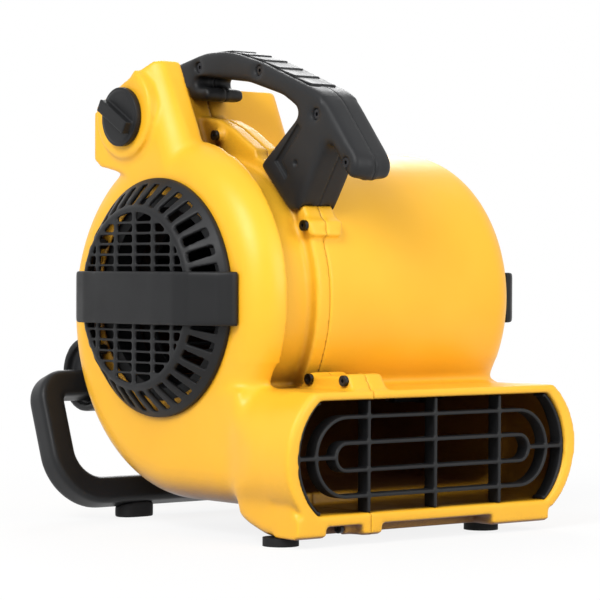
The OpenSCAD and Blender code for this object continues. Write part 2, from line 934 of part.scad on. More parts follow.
// Room for the housing's raised tab between the handle's two feet
module handle_tab_room() {
    intersection() {
        x_rod(tab_r + seat, -tab_half - seat, tab_half + seat, 0, axis_z);
        along_x(-tab_half - seat, tab_half + seat)
        translate([-scroll_r - seat, tab_low - 12])
        square([0.2 * scroll_r + 2 * seat, tab_high - tab_low + 12 + seat]);
    }
}

// Strip along the top of the handle that the grip pad fills
module pad_room(x0, x1) {
    difference() {
        along_x(x0, x1)
        polygon(pad_limits);
        along_x(x0 - 1, x1 + 1)
        translate([0, -pad_t])
        polygon(rounded(handle_points, 4));
    }
}

pad_bed_low = 301;
pad_bed_high = 318;
pad_bed_step = -32;
pad_limits = [[pad_y0, pad_bed_low], [pad_bed_step, pad_bed_low], [pad_bed_step, pad_bed_high],
    [pad_y1, pad_bed_high], [pad_y1, 350], [pad_y0, 350]];

module handle_left_half() {
    color(black)
    in_place()
    difference() {
        handle_half(-handle_w / 2, 0);
        for (s = handle_screw_spots)
            x_rod(screw_head_r, -handle_w / 2 - 1, -handle_w / 2 + pocket + 2, s[0], s[1]);
        along_x(-handle_w / 2 - 1, -handle_w / 2 + 1.5)
        polygon([[-89, 280], [-62.5, 253], [-76, 240], [-79, 243], [-69, 253], [-92, 276]]);
    }
}

module handle_right_half() {
    color(black)
    in_place()
    handle_half(0, handle_w / 2);
}

// Height of the handle's top at a given place along it
handle_outline = rounded(handle_points, 4);
function crest(y) = max([
    for (i = [0 : len(handle_outline) - 1])
        let (a = handle_outline[i], b = handle_outline[(i + 1) % len(handle_outline)])
        if (a[0] != b[0] && min(a[0], b[0]) <= y && y <= max(a[0], b[0]))
            a[1] + (b[1] - a[1]) * (y - a[0]) / (b[0] - a[0])
]);

tread_pitch = (pad_y1 - pad_y0 - 2 * seat) / tread_count;
tread_profile = [
    for (i = [0 : tread_count - 1], end = [0, 1])
        let (y = pad_y1 - seat - (i + end) * tread_pitch)
        [y, crest(y) + end * tread_rise]
];
tread_bed = [
    for (i = [tread_count : -1 : 0])
        let (y = pad_y1 - seat - i * tread_pitch)
        [y, crest(y) - 2 * pad_t]
];

// Soft pad let into the top of the handle, with treads that rise towards its front
module grip_pad() {
    color(rubber)
    in_place()
    difference() {
        along_x(-pad_w / 2 + seat, pad_w / 2 - seat)
        polygon(concat(tread_profile, tread_bed));
        along_x(-pad_w, pad_w)
        translate([0, -pad_t + seat])
        polygon(handle_outline);
    }
}

module handle_screws() {
    color(steel)
    in_place()
    for (s = handle_screw_spots) {
        x_rod(screw_r, -handle_w / 2 + pocket + 2, handle_w / 2 - 4.5, s[0], s[1]);
        difference() {
            x_rod(screw_head_r - seat, -handle_w / 2 + pocket - 0.6, -handle_w / 2 + pocket + 2, s[0], s[1]);
            x_rod(1.4, -handle_w / 2 + pocket - 1, -handle_w / 2 + pocket + 0.8, s[0], s[1], $fn = 6);
        }
    }
}

module shell_screws() {
    color(steel)
    in_place()
    for (s = shell_screw_spots) {
        x_rod(screw_r, -band_half - 4 - seat, -band_half - 4 + screw_len, s[0], s[1]);
        difference() {
            x_rod(screw_head_r, -band_half - 6.6, -band_half - 4 - seat, s[0], s[1]);
            x_rod(1.4, -band_half - 7, -band_half - 5.2, s[0], s[1], $fn = 6);
        }
    }
}

// ---------- speed switch ----------

spindle_r = 2.9;
knob_x = -left_len - boss_rise; // outer face of the boss
knob_base = 4.4;
module speed_knob() {
    color(black)
    in_place()
    translate([knob_x - free, knob_y, knob_z])
    difference() {
        union() {
            x_rod(knob_r, -knob_base, 0);
            x_rod(knob_r - 2.5, -knob_base - 0.8, 0);
            rotate([30, 0, 0])
            translate([-knob_h - 2, -knob_r + 3, -4.5])
            cube([knob_h, 2 * knob_r - 6, 9]);
        }
        x_rod(9.5, -4, 1);
        x_rod(spindle_r, -knob_h, 1);
    }
}

module knob_shaft() {
    color(steel)
    in_place()
    x_rod(spindle_r, knob_x - free - knob_h + 0.4, -left_len + wall + 12, knob_y, knob_z);
}

module rotary_switch() {
    color(black)
    in_place()
    difference() {
        union() {
            x_rod(15, -left_len + wall + seat, -left_len + wall + 17, knob_y, knob_z);
            x_rod(knob_bush_r, knob_x - 3.4, -left_len + wall + 1, knob_y, knob_z);
            for (z = [-6, 0, 6])
                translate([-left_len + wall + 16, knob_y + 4, knob_z + z - 1.5])
                cube([6, 1, 3]);
        }
        x_rod(spindle_r + run, knob_x - 5, -left_len + wall + 12.5, knob_y, knob_z);
    }
}

module switch_nut() {
    color(steel)
    in_place()
    difference() {
        x_rod(8, knob_x - 3, knob_x - seat, knob_y, knob_z, $fn = 6);
        x_rod(knob_bush_r, knob_x - 4, knob_x + 1, knob_y, knob_z);
    }
}

module cord_gland() {
    color(rubber)
    in_place()
    translate([gland_x, gland_wall_y, gland_z])
    rotate([-90, 0, 0])
    difference() {
        union() {
            translate([0, 0, -wall - 3])
            cylinder(r = gland_r, h = wall + 4);
            translate([0, 0, seat])
            cylinder(r = gland_r + 3, h = 2.6);
            translate([0, 0, -wall - 3])
            cylinder(r = gland_r + 2, h = 3 - seat);
            cylinder(r = 6, h = 16);
            for (z = [5, 8.5, 12])
                translate([0, 0, z])
                cylinder(r = 7, h = 1.8);
        }
        translate([0, 0, -wall - 4])
        cylinder(r = 3.6, h = 24);
    }
}

// ---------- motor ----------

can_x = plate_x + 24; // front end of the stack of plates
stack = motor_len - 18;
bell_t = 3;
bell_front_x = can_x - 9 - bell_t;
bell_rear_x = can_x + stack + 9;
rotor_r = 22;
bearing_r = 11;
bearing_w = 7;
module motor_stator() {
    color(steel)
    in_place()
    translate([0, 0, axis_z])
    union() {
        difference() {
            x_rod(motor_r - 0.4, can_x, can_x + stack);
            x_rod(rotor_r + air_gap, can_x - 1, can_x + stack + 1);
            for (a = [0 : 30 : 330])
                rotate([a, 0, 0])
                x_rod(3.2, can_x - 1, can_x + stack + 1, 0, 29);
        }
        x_tube(35, 26, can_x - 6, can_x + 0.01);
        x_tube(35, 26, can_x + stack - 0.01, can_x + stack + 6);
    }
}

// End bell: a disc, a rim that seats on the stack and a bearing pocket; way points to the stack
module end_bell(x_disc, way) {
    x_in = x_disc + way * bell_t;
    x_rim = x_in + way * (9 - seat);
    difference() {
        union() {
            x_rod(motor_r, min(x_disc, x_in), max(x_disc, x_in));
            x_tube(motor_r, motor_r - 3, min(x_disc, x_rim), max(x_disc, x_rim));
            x_rod(bearing_r + 3, min(x_disc, x_in + way * bearing_w), max(x_disc, x_in + way * bearing_w));
        }
        x_rod(bearing_r, min(x_in, x_in + way * 9), max(x_in, x_in + way * 9));
        x_rod(shaft_r + 1.5, x_disc - 9, x_disc + 9);
        x_rod(lead_r + 0.8, x_disc - 5, x_disc + 5, lead_y, lead_z);
        for (a = [0 : 60 : 300])
            rotate([a, 0, 0])
            x_rod(4, x_disc - 5, x_disc + 5, 0, 30);
        for (a = [45 : 90 : 315])
            rotate([a, 0, 0])
            x_rod(screw_r, x_disc - 5, x_disc + 5, 0, 21);
    }
}

module motor_front_bell() {
    color(steel)
    in_place()
    translate([0, 0, axis_z])
    end_bell(bell_front_x, 1);
}

module motor_rear_bell() {
    color(steel)
    in_place()
    translate([0, 0, axis_z])
    end_bell(bell_rear_x + bell_t, -1);
}

module rotor_core() {
    color(steel)
    in_place()
    translate([0, 0, axis_z]) {
        x_tube(rotor_r, shaft_r, can_x, can_x + stack);
        x_tube(rotor_r - 1, bearing_r + 5, can_x - 3, can_x + 0.01);
        x_tube(rotor_r - 1, bearing_r + 5, can_x + stack - 0.01, can_x + stack + 3);
    }
}

module motor_shaft() {
    color(steel)
    in_place()
    x_rod(shaft_r, plate_x - 14, bell_rear_x + 2, 0, axis_z);
}

module ball_bearing() {
    difference() {
        x_tube(bearing_r, shaft_r + run, 0, bearing_w);
        x_tube(bearing_r - 2, shaft_r + 2, -1, 0.8);
        x_tube(bearing_r - 2, shaft_r + 2, bearing_w - 0.8, bearing_w + 1);
    }
}

module front_bearing() {
    color(steel)
    in_place()
    translate([bell_front_x + bell_t, 0, axis_z])
    ball_bearing();
}

module rear_bearing() {
    color(steel)
    in_place()
    translate([bell_rear_x - bearing_w, 0, axis_z])
    ball_bearing();
}

// Bracket: a plate on the rear bell and four arms that reach round the end of the impeller
bracket_x = bell_rear_x + bell_t + seat;
arm_x = plate_x + wheel_half + 11;
arm_t = 5;
arm_w = 10;
post_end = right_len - wall - ring_flange - 2 * seat - 2.4;
module motor_bracket() {
    color(dark_steel)
    in_place()
    translate([0, 0, axis_z])
    difference() {
        union() {
            x_rod(34, bracket_x, bracket_x + 3);
            for (a = [0 : 90 : 270])
                rotate([a, 0, 0]) {
                    translate([bracket_x, -arm_w / 2, 26])
                    cube([arm_x + arm_t - bracket_x, arm_w, 6]);
                    translate([arm_x, -arm_w / 2, 26])
                    cube([arm_t, arm_w, arm_r + 5 - 26]);
                    translate([arm_x, -arm_w / 2, arm_r - 5])
                    cube([post_end - arm_x, arm_w, 10]);
                }
        }
        x_rod(12, bracket_x - 1, bracket_x + 4);
        x_rod(lead_r + 0.8, bracket_x - 1, bracket_x + 4, lead_y, lead_z);
        for (a = [0 : 90 : 270])
            rotate([a, 0, 0])
            x_rod(screw_r + seat, arm_x - 1, post_end + 1, 0, arm_r);
        for (a = [45 : 90 : 315])
            rotate([a, 0, 0])
            x_rod(screw_r + seat, bracket_x - 1, bracket_x + 4, 0, 21);
    }
}

module motor_bolts() {
    color(steel)
    in_place()
    translate([0, 0, axis_z]) {
        for (a = [45 : 90 : 315])
            rotate([a, 0, 0]) {
                x_rod(screw_r, bell_rear_x + 0.5, bracket_x + 3 + seat, 0, 21);
                x_rod(4, bracket_x + 3 + seat, bracket_x + 5.8, 0, 21);
            }
        for (a = [0 : 90 : 270])
            rotate([a, 0, 0]) {
                x_rod(screw_r, arm_x - seat, right_len - 0.8, 0, arm_r);
                x_rod(4, arm_x - 2.8, arm_x - seat, 0, arm_r);
            }
    }
}

module bracket_grommets() {
    color(rubber)
    in_place()
    at_arms()
    x_tube(5, screw_r + seat, post_end + seat, post_end + 2.4);
}

cap_can_r = 13;
clip_t = 1.4;
cap_can_gap = 6; // from the scroll to the clip
cap_can_a = 62.8;
cap_can_at = scroll_r + cap_can_gap + clip_t + cap_can_r;
cap_can_y = cap_can_at * cos(cap_can_a);
cap_can_z = axis_z + cap_can_at * sin(cap_can_a);
module run_capacitor() {
    color(black)
    in_place() {
        x_rod(cap_can_r, 8, 50, cap_can_y, cap_can_z);
        for (y = [-5, 5])
            x_rod(1.5, 49, 56, cap_can_y + y, cap_can_z);
    }
}

module capacitor_clip() {
    color(steel)
    in_place() {
        x_tube(cap_can_r + clip_t, cap_can_r + seat, 24, 34, cap_can_y, cap_can_z);
        translate([24, cap_can_y + cap_can_r + 0.5, cap_can_z - 6])
        cube([10, gland_wall_y - wall - seat - cap_can_y - cap_can_r - 0.5, 12]);
    }
}

// Wires from the switch through the housing to the motor, past the end of the impeller
module motor_leads() {
    color(black)
    in_place() {
        wire([[-left_len + wall + 22, knob_y + 4.5, knob_z], [-30, 38, 278], leads_drop[0],
            leads_drop[1] - [0, 3, 10], [arm_x - 5, 27.1, 241.6], [arm_x - 5, lead_y, axis_z + lead_z],
            [can_x + stack + 5.8, lead_y, axis_z + lead_z]], lead_r);
    }
}

// ---------- impeller ----------

hub_len = 22;
module impeller() {
    color(black)
    in_place()
    translate([plate_x, 0, axis_z])
    difference() {
        union() {
            x_rod(wheel_r, -1.5, 1.5);
            x_rod(14, -12, hub_len - 12);
            for (x = [-wheel_half, wheel_half - 3])
                x_tube(wheel_r, blade_in_r - 0.5, x, x + 3);
            for (i = [0 : blades - 1])
                rotate([i * 360 / blades, 0, 0])
                translate([-wheel_half + 1, 0, (wheel_r + blade_in_r) / 2])
                rotate([32, 0, 0])
                translate([0, -0.8, -(wheel_r - blade_in_r) / 2 - 0.6])
                cube([2 * wheel_half - 2, 1.6, wheel_r - blade_in_r + 1.2]);
        }
        x_rod(shaft_r, -20, 20);
        translate([hub_len - 15, 0, shaft_r])
        cylinder(r = 2.5, h = 20);
    }
}

module impeller_set_screw() {
    color(dark_steel)
    in_place()
    translate([plate_x + hub_len - 15, 0, axis_z + shaft_r + 0.1])
    difference() {
        cylinder(r = 2.5, h = 8);
        translate([0, 0, 5])
        cylinder(r = 1.3, h = 4, $fn = 6);
    }
}

// ---------- stand ----------

tube_round = 4;
tube_wall = 1.8;
washer_t = 1.6;
left_hub_x = left_lug_x - washer_t - seat - free; // inner face of the left hub
hub_t = 13;
arm_v = 8; // tube's centre line below the pivot, at the hubs
cup_r = 22;
cup_deep = 6;
bore_deep = 6; // how far the pivot pin reaches into the hub
upright_x = -(stand_w / 2 - tube / 2); // from the housing's middle to the left upright's centre line
module tube_section(t) {
    w = tube / 2 - t;
    r = tube_round - t;
    square([2 * w, 2 * w - 2 * r], center = true);
    square([2 * w - 2 * r, 2 * w], center = true);
    for (a = [-1, 1], b = [-1, 1])
        translate([a * (w - r), b * (w - r)])
        circle(r = r, $fn = 48);
}

// A quarter bend of the tube about an axis along Y
module tube_bend(r, from, t) {
    rotate([90, 0, 0])
    rotate([0, 0, from])
    rotate_extrude(angle = 90)
    translate([r, 0])
    tube_section(t);
}

// Half of the bail, drawn with the pivot at the origin and the stand hanging straight down
module bail_half(t) {
    x_hub = left_hub_x - mouth_x - hub_t + cup_deep;
    translate([upright_x + bend_top, 0, -arm_v])
    rotate([0, 90, 0])
    linear_extrude(x_hub - upright_x - bend_top)
    tube_section(t);
    translate([upright_x + bend_top, 0, -arm_v - bend_top])
    tube_bend(bend_top, 90, t);
    translate([upright_x, 0, -stand_reach + bend_low])
    linear_extrude(stand_reach - bend_low - arm_v - bend_top)
    tube_section(t);
    translate([upright_x + bend_low, 0, -stand_reach + bend_low])
    tube_bend(bend_low, 180, t);
    translate([upright_x + bend_low, 0, -stand_reach])
    rotate([0, 90, 0])
    linear_extrude(-upright_x - bend_low)
    tube_section(t);
}

module leaning_stand() {
    translate([mouth_x, hub_y, hub_z])
    rotate([-stand_lean, 0, 0])
    children();
}

module stand_bail() {
    color(black)
    in_place()
    leaning_stand()
    for (side = [0, 1])
        mirror([side, 0, 0])
        difference() {
            union() {
                difference() {
                    x_rod(hub_r, left_hub_x - mouth_x - hub_t, left_hub_x - mouth_x);
                    x_rod(cup_r, left_hub_x - mouth_x - hub_t - 1, left_hub_x - mouth_x - hub_t + cup_deep);
                }
                difference() {
                    bail_half(0);
                    bail_half(tube_wall);
                }
            }
            x_rod(pivot_r + run, left_hub_x - mouth_x - bore_deep, left_hub_x - mouth_x + 1);
        }
}

// Pivot pin, put in from the inner side of the lug
module pivot_bolt() {
    difference() {
        union() {
            x_rod(pivot_r, left_hub_x - mouth_x - bore_deep + free, left_lug_x - mouth_x + lug_w + 2);
            x_rod(8.5, left_lug_x - mouth_x + lug_w + seat, left_lug_x - mouth_x + lug_w + 5, $fn = 6);
        }
        x_rod(2.5, left_lug_x - mouth_x + lug_w + 3, left_lug_x - mouth_x + lug_w + 6, $fn = 6);
    }
}

module left_pivot_bolt() {
    color(steel)
    in_place()
    translate([mouth_x, hub_y, hub_z])
    pivot_bolt();
}

module right_pivot_bolt() {
    color(steel)
    in_place()
    translate([mouth_x, hub_y, hub_z])
    mirror([1, 0, 0])
    pivot_bolt();
}

module detent_washers() {
    color(steel)
    in_place()
    translate([mouth_x, hub_y, hub_z])
    for (side = [0, 1])
        mirror([side, 0, 0])
        x_tube(15, pivot_r + 0.1, left_lug_x - mouth_x - seat - washer_t, left_lug_x - mouth_x - seat);
}

pad_left_x = -11.4;
pad_right_x = 127.4;
module stand_pads() {
    color(rubber)
    in_place()
    for (x = [pad_left_x, pad_right_x])
        difference() {
            translate([x, hub_y - stand_reach * sin(stand_lean), 0])
            linear_extrude(15)
            stadium(-15, 15, 18);
            leaning_stand()
            translate([-150, 0, -stand_reach])
            rotate([0, 90, 0])
            linear_extrude(300)
            tube_section(-seat);
        }
}

// ---------- front feet ----------

module front_feet() {
    color(rubber)
    in_place()
    for (x = [-left_foot_x, right_foot_x])
        translate([x, -foot_y, 0])
        difference() {
            cylinder(r = foot_r, h = belly_z - seat);
            translate([0, 0, -1])
            cylinder(r = 4.5, h = 2.8);
            cylinder(r = foot_screw_r + seat, h = 10);
        }
}

module foot_screws() {
    color(steel)
    in_place()
    for (x = [-left_foot_x, right_foot_x])
        translate([x, -foot_y, 0]) {
            translate([0, 0, 0.6])
            cylinder(r = 3.8, h = 1.2 - seat);
            translate([0, 0, 0.6])
            cylinder(r = foot_screw_r, h = belly_z + 8);
        }
}

left_shell();
right_shell();
left_inlet_grille();
right_inlet_grille();
left_band();
right_band();
left_inlet_ring();
right_inlet_ring();
outlet_grille();
handle_left_half();
handle_right_half();
grip_pad();
handle_screws();
shell_screws();
grille_screws();
speed_knob();
knob_shaft();
rotary_switch();
switch_nut();
cord_gland();
motor_stator();
motor_front_bell();
motor_rear_bell();
rotor_core();
motor_shaft();
front_bearing();
rear_bearing();
motor_bracket();
motor_bolts();
bracket_grommets();
run_capacitor();
capacitor_clip();
impeller();
impeller_set_screw();
stand_bail();
left_pivot_bolt();
right_pivot_bolt();
detent_washers();
stand_pads();
front_feet();
foot_screws();
motor_leads();
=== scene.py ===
# %% [markdown]
# # A compact air mover
# This lesson dresses a small centrifugal blower. Its solids come from the CAD frame, in metres, with the outlet
# towards -Y and the speed knob on the -X side. We set up the camera first, then the finishes, then the pieces
# that need softer shapes than the CAD gives them.

# %% Load the frame
import json
import math

import bpy
from mathutils import Matrix, Vector


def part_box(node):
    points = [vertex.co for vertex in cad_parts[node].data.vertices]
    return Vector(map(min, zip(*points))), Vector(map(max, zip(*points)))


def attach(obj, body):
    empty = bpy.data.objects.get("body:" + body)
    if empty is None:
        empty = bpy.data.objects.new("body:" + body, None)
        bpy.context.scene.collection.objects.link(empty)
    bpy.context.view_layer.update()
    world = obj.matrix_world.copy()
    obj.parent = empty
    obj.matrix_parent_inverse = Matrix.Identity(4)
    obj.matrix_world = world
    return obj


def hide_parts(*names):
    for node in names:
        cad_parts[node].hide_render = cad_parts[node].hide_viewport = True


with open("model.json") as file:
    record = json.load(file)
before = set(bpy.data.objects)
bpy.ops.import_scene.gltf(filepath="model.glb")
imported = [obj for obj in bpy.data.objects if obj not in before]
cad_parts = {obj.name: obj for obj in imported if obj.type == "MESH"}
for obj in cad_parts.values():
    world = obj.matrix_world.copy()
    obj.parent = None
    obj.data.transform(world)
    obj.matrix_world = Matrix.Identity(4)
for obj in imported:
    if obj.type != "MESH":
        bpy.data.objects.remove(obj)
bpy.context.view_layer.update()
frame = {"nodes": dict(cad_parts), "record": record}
node_objects = frame["nodes"]
bpy.ops.object.select_all(action="DESELECT")

MM = 0.001
SEAM_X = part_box("left_shell")[1][0]  # plane where the two housing halves meet
AXIS_Y = -6.5 * MM  # the impeller's axis

# %% [markdown]
# ## The camera
# The photograph was taken from about 1.8 m away with a long lens, almost level with the machine's middle.
# We write down where the camera stands and which way it looks, and build its axes from that.

# %% Camera
CAMERA_AT = Vector((-1.16582, -1.4313, 0.17941))
LOOK_YAW = math.radians(39.36)  # turned from +Y towards +X
LOOK_PITCH = math.radians(-0.64)
LOOK_ROLL = math.radians(0.22)
LENS_MM = 154.4
SENSOR_MM = 36
FAR_CLIP = 50

forward = Vector((math.sin(LOOK_YAW) * math.cos(LOOK_PITCH), math.cos(LOOK_YAW) * math.cos(LOOK_PITCH),
                  math.sin(LOOK_PITCH)))
level_right = Vector((math.cos(LOOK_YAW), -math.sin(LOOK_YAW), 0))
level_up = level_right.cross(forward)
right = math.cos(LOOK_ROLL) * level_right + math.sin(LOOK_ROLL) * level_up
up = math.cos(LOOK_ROLL) * level_up - math.sin(LOOK_ROLL) * level_right

bpy.ops.object.camera_add()
camera = bpy.context.object
camera.name = "photo_camera"
camera.matrix_world = Matrix((
    (right.x, up.x, -forward.x, CAMERA_AT.x),
    (right.y, up.y, -forward.y, CAMERA_AT.y),
    (right.z, up.z, -forward.z, CAMERA_AT.z),
    (0, 0, 0, 1),
))
camera.data.lens = LENS_MM
camera.data.sensor_width = SENSOR_MM
camera.data.clip_end = FAR_CLIP
bpy.context.scene.camera = camera

# %% [markdown]
# ## Finishes
# Each finish is a small node tree: noise in Object coordinates breaks up the colour and the gloss, and a fine
# bump gives the grain of the mould. The Bevel node rounds the shading of sharp edges by a millimetre or so, as
# every moulded edge is a little round.

# %% Finish helpers
COLOUR_DRIFT = 9  # noise scale of the slow change of colour, per metre
HANDLING = 38  # noise scale of the uneven gloss
STREAKS = 140  # noise scale of rolled or plated metal
MOULD_GRAIN = 0.35  # strength of the plastic's bump
METAL_GRAIN = 0.25
METAL_DEPTH = 0.00004
INSIDE_REACH = 0.3  # metres within which walls count as enclosing
INSIDE_OPENNESS = (0.12, 0.36)  # ambient occlusion from fully inside to fully outside


def new_finish(name):
    material = bpy.data.materials.new(name)
    material.use_nodes = True
    nodes = material.node_tree.nodes
    links = material.node_tree.links
    shader = nodes["Principled BSDF"]
    place = nodes.new("ShaderNodeTexCoord")
    return material, nodes, links, shader, place


def noise(nodes, links, place, scale, detail=4.0, roughness=0.55, stretch=None):
    texture = nodes.new("ShaderNodeTexNoise")
    texture.inputs["Scale"].default_value = scale
    texture.inputs["Detail"].default_value = detail
    texture.inputs["Roughness"].default_value = roughness
    if stretch:
        mapping = nodes.new("ShaderNodeMapping")
        mapping.inputs["Scale"].default_value = stretch
        links.new(place.outputs["Object"], mapping.inputs["Vector"])
        links.new(mapping.outputs["Vector"], texture.inputs["Vector"])
    else:
        links.new(place.outputs["Object"], texture.inputs["Vector"])
    return texture.outputs["Fac"]


def colour_between(nodes, links, factor, dark, light, low=0.35, high=0.65):
    ramp = nodes.new("ShaderNodeValToRGB")
    ramp.color_ramp.elements[0].position = low
    ramp.color_ramp.elements[0].color = (*dark, 1)
    ramp.color_ramp.elements[1].position = high
    ramp.color_ramp.elements[1].color = (*light, 1)
    links.new(factor, ramp.inputs["Fac"])
    return ramp.outputs["Color"]


def value_between(nodes, links, factor, low, high):
    spread = nodes.new("ShaderNodeMapRange")
    spread.inputs["From Min"].default_value = 0.3
    spread.inputs["From Max"].default_value = 0.7
    spread.inputs["To Min"].default_value = low
    spread.inputs["To Max"].default_value = high
    links.new(factor, spread.inputs["Value"])
    return spread.outputs["Result"]


def grain(nodes, links, shader, height, strength, distance, edge_round):
    bump = nodes.new("ShaderNodeBump")
    bump.inputs["Strength"].default_value = strength
    bump.inputs["Distance"].default_value = distance
    links.new(height, bump.inputs["Height"])
    if edge_round:
        soft_edge = nodes.new("ShaderNodeBevel")
        soft_edge.samples = 4
        soft_edge.inputs["Radius"].default_value = edge_round
        links.new(soft_edge.outputs["Normal"], bump.inputs["Normal"])
    links.new(bump.outputs["Normal"], shader.inputs["Normal"])


def paint_shade_inside(nodes, links, colour, painted_shade):
    # Painted shade: ambient occlusion tells how enclosed a place is, and the inside of the scroll takes the dark
    # colour painted in as shade
    openness = nodes.new("ShaderNodeAmbientOcclusion")
    openness.samples = 6
    openness.inputs["Distance"].default_value = INSIDE_REACH
    spread = nodes.new("ShaderNodeMapRange")
    spread.inputs["From Min"].default_value = INSIDE_OPENNESS[0]
    spread.inputs["From Max"].default_value = INSIDE_OPENNESS[1]
    links.new(openness.outputs["AO"], spread.inputs["Value"])
    blend = nodes.new("ShaderNodeMix")
    blend.data_type = "RGBA"
    blend.inputs["A"].default_value = (*painted_shade, 1)
    links.new(spread.outputs["Result"], blend.inputs["Factor"])
    links.new(colour, blend.inputs["B"])
    return blend.outputs["Result"]


def plastic(name, dark, light, rough, grain_scale, grain_depth, edge_round, gloss=0.5, painted_shade=None):
    material, nodes, links, shader, place = new_finish(name)
    drift = noise(nodes, links, place, COLOUR_DRIFT, detail=3)
    colour = colour_between(nodes, links, drift, dark, light)
    # A dark colour given here is painted shade, laid into the enclosed insides by ambient occlusion
    if painted_shade:
        colour = paint_shade_inside(nodes, links, colour, painted_shade)
    links.new(colour, shader.inputs["Base Color"])
    handling = noise(nodes, links, place, HANDLING, detail=6)
    links.new(value_between(nodes, links, handling, *rough), shader.inputs["Roughness"])
    fine = noise(nodes, links, place, grain_scale, detail=2)
    grain(nodes, links, shader, fine, MOULD_GRAIN, grain_depth, edge_round)
    shader.inputs["Specular IOR Level"].default_value = gloss
    return material


def metal(name, dark, light, rough, stretch, edge_round):
    material, nodes, links, shader, place = new_finish(name)
    streaks = noise(nodes, links, place, STREAKS, detail=5, stretch=stretch)
    links.new(colour_between(nodes, links, streaks, dark, light), shader.inputs["Base Color"])
    links.new(value_between(nodes, links, streaks, *rough), shader.inputs["Roughness"])
    grain(nodes, links, shader, streaks, METAL_GRAIN, METAL_DEPTH, edge_round)
    shader.inputs["Metallic"].default_value = 1.0
    return material


# %% The machine's finishes
# The dark maroon for the inside of the yellow housing is painted shade, not the plastic's own colour
yellow_plastic = plastic("yellow_plastic", (0.90, 0.455, 0.018), (0.94, 0.50, 0.028), (0.34, 0.46), 1500, 0.00003,
                         0.0016, gloss=0.4, painted_shade=(0.075, 0.017, 0.006))
black_plastic = plastic("black_plastic", (0.0085, 0.0088, 0.0096), (0.013, 0.0134, 0.0145), (0.4, 0.54), 2600,
                        0.00005, 0.0009, gloss=0.25)
handle_plastic = plastic("handle_plastic", (0.011, 0.0115, 0.0125), (0.016, 0.0166, 0.018), (0.4, 0.52), 2200,
                         0.00006, 0.0014, gloss=0.25)
soft_rubber = plastic("soft_rubber", (0.01, 0.01, 0.011), (0.016, 0.016, 0.017), (0.62, 0.75), 1800, 0.00005,
                      0.0008, gloss=0.2)
wire_sleeve = plastic("wire_sleeve", (0.015, 0.015, 0.017), (0.03, 0.03, 0.033), (0.4, 0.5), 900, 0.00004, 0)
powder_coat = plastic("powder_coat", (0.009, 0.0095, 0.0105), (0.014, 0.0146, 0.016), (0.36, 0.46), 1300, 0.00008,
                      0.0008, gloss=0.25)
zinc_plate = metal("zinc_plate", (0.42, 0.43, 0.45), (0.62, 0.63, 0.66), (0.25, 0.4), (1, 1, 6), 0.0004)
black_screw = metal("black_screw", (0.03, 0.03, 0.033), (0.06, 0.06, 0.065), (0.3, 0.42), (1, 1, 3), 0.0004)
sheet_iron = metal("sheet_iron", (0.2, 0.2, 0.21), (0.34, 0.34, 0.36), (0.35, 0.5), (9, 1, 1), 0.0004)
cast_aluminium = metal("cast_aluminium", (0.5, 0.51, 0.53), (0.66, 0.67, 0.69), (0.4, 0.55), (1, 1, 1), 0.0008)

FINISHES = {
    "housing_plastic": yellow_plastic,
    "black_plastic": black_plastic,
    "soft_rubber": soft_rubber,
    "plated_steel": zinc_plate,
    "motor_iron": sheet_iron,
    "cast_aluminium": cast_aluminium,
    "coated_steel": powder_coat,
    "lead_sheath": wire_sleeve,
}
NODE_FINISHES = {
    "handle_left_half": handle_plastic,
    "handle_right_half": handle_plastic,
    "handle_screws": black_screw,
    "shell_screws": black_screw,
    "foot_screws": black_screw,
}


def wear(piece, material):
    piece.data.materials.clear()
    piece.data.materials.append(material)


for entry in frame["record"]["subparts"]:
    name = entry["node"]
    wear(node_objects[name], NODE_FINISHES.get(name, FINISHES[entry["material_slot"]]))

# %% [markdown]
# ## Soft moulded housing
# The real housing is blow moulded: every edge and every join between its forms flows. We copy each CAD half,
# merge its loose triangles, and let a voxel remesh and a smoothing pass round it, as sanding would. Where the
# pod and the duct grow out of the drum, a second, stronger smoothing is held to those places by a vertex group.

# %% Helpers for softened copies
def select_only(piece):
    bpy.ops.object.select_all(action="DESELECT")
    piece.select_set(True)
    bpy.context.view_layer.objects.active = piece


def apply_modifier(piece, kind, **settings):
    select_only(piece)
    modifier = piece.modifiers.new(kind.lower(), kind)
    for key, value in settings.items():
        setattr(modifier, key, value)
    bpy.ops.object.modifier_apply(modifier=modifier.name)


def smooth(piece, passes, group=""):
    apply_modifier(piece, "SMOOTH", factor=0.5, iterations=passes, vertex_group=group)


def merged_copy(node, name):
    select_only(node_objects[node])
    bpy.ops.object.duplicate()
    piece = bpy.context.object
    piece.name = name
    piece.parent = None
    bpy.ops.object.mode_set(mode="EDIT")
    bpy.ops.mesh.select_all(action="SELECT")
    bpy.ops.mesh.remove_doubles(threshold=0.00002)
    bpy.ops.object.mode_set(mode="OBJECT")
    return piece


def mark(piece, name, holds):
    group = piece.vertex_groups.new(name=name)
    group.add([v.index for v in piece.data.vertices if holds(v.co)], 1.0, "REPLACE")
    return group.name


def dress(piece, body, slot, material, *nodes):
    select_only(piece)
    bpy.ops.object.shade_smooth()
    wear(piece, material)
    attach(piece, body)
    if nodes:
        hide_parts(*nodes)
    print(piece.name, len(piece.data.polygons), "faces")


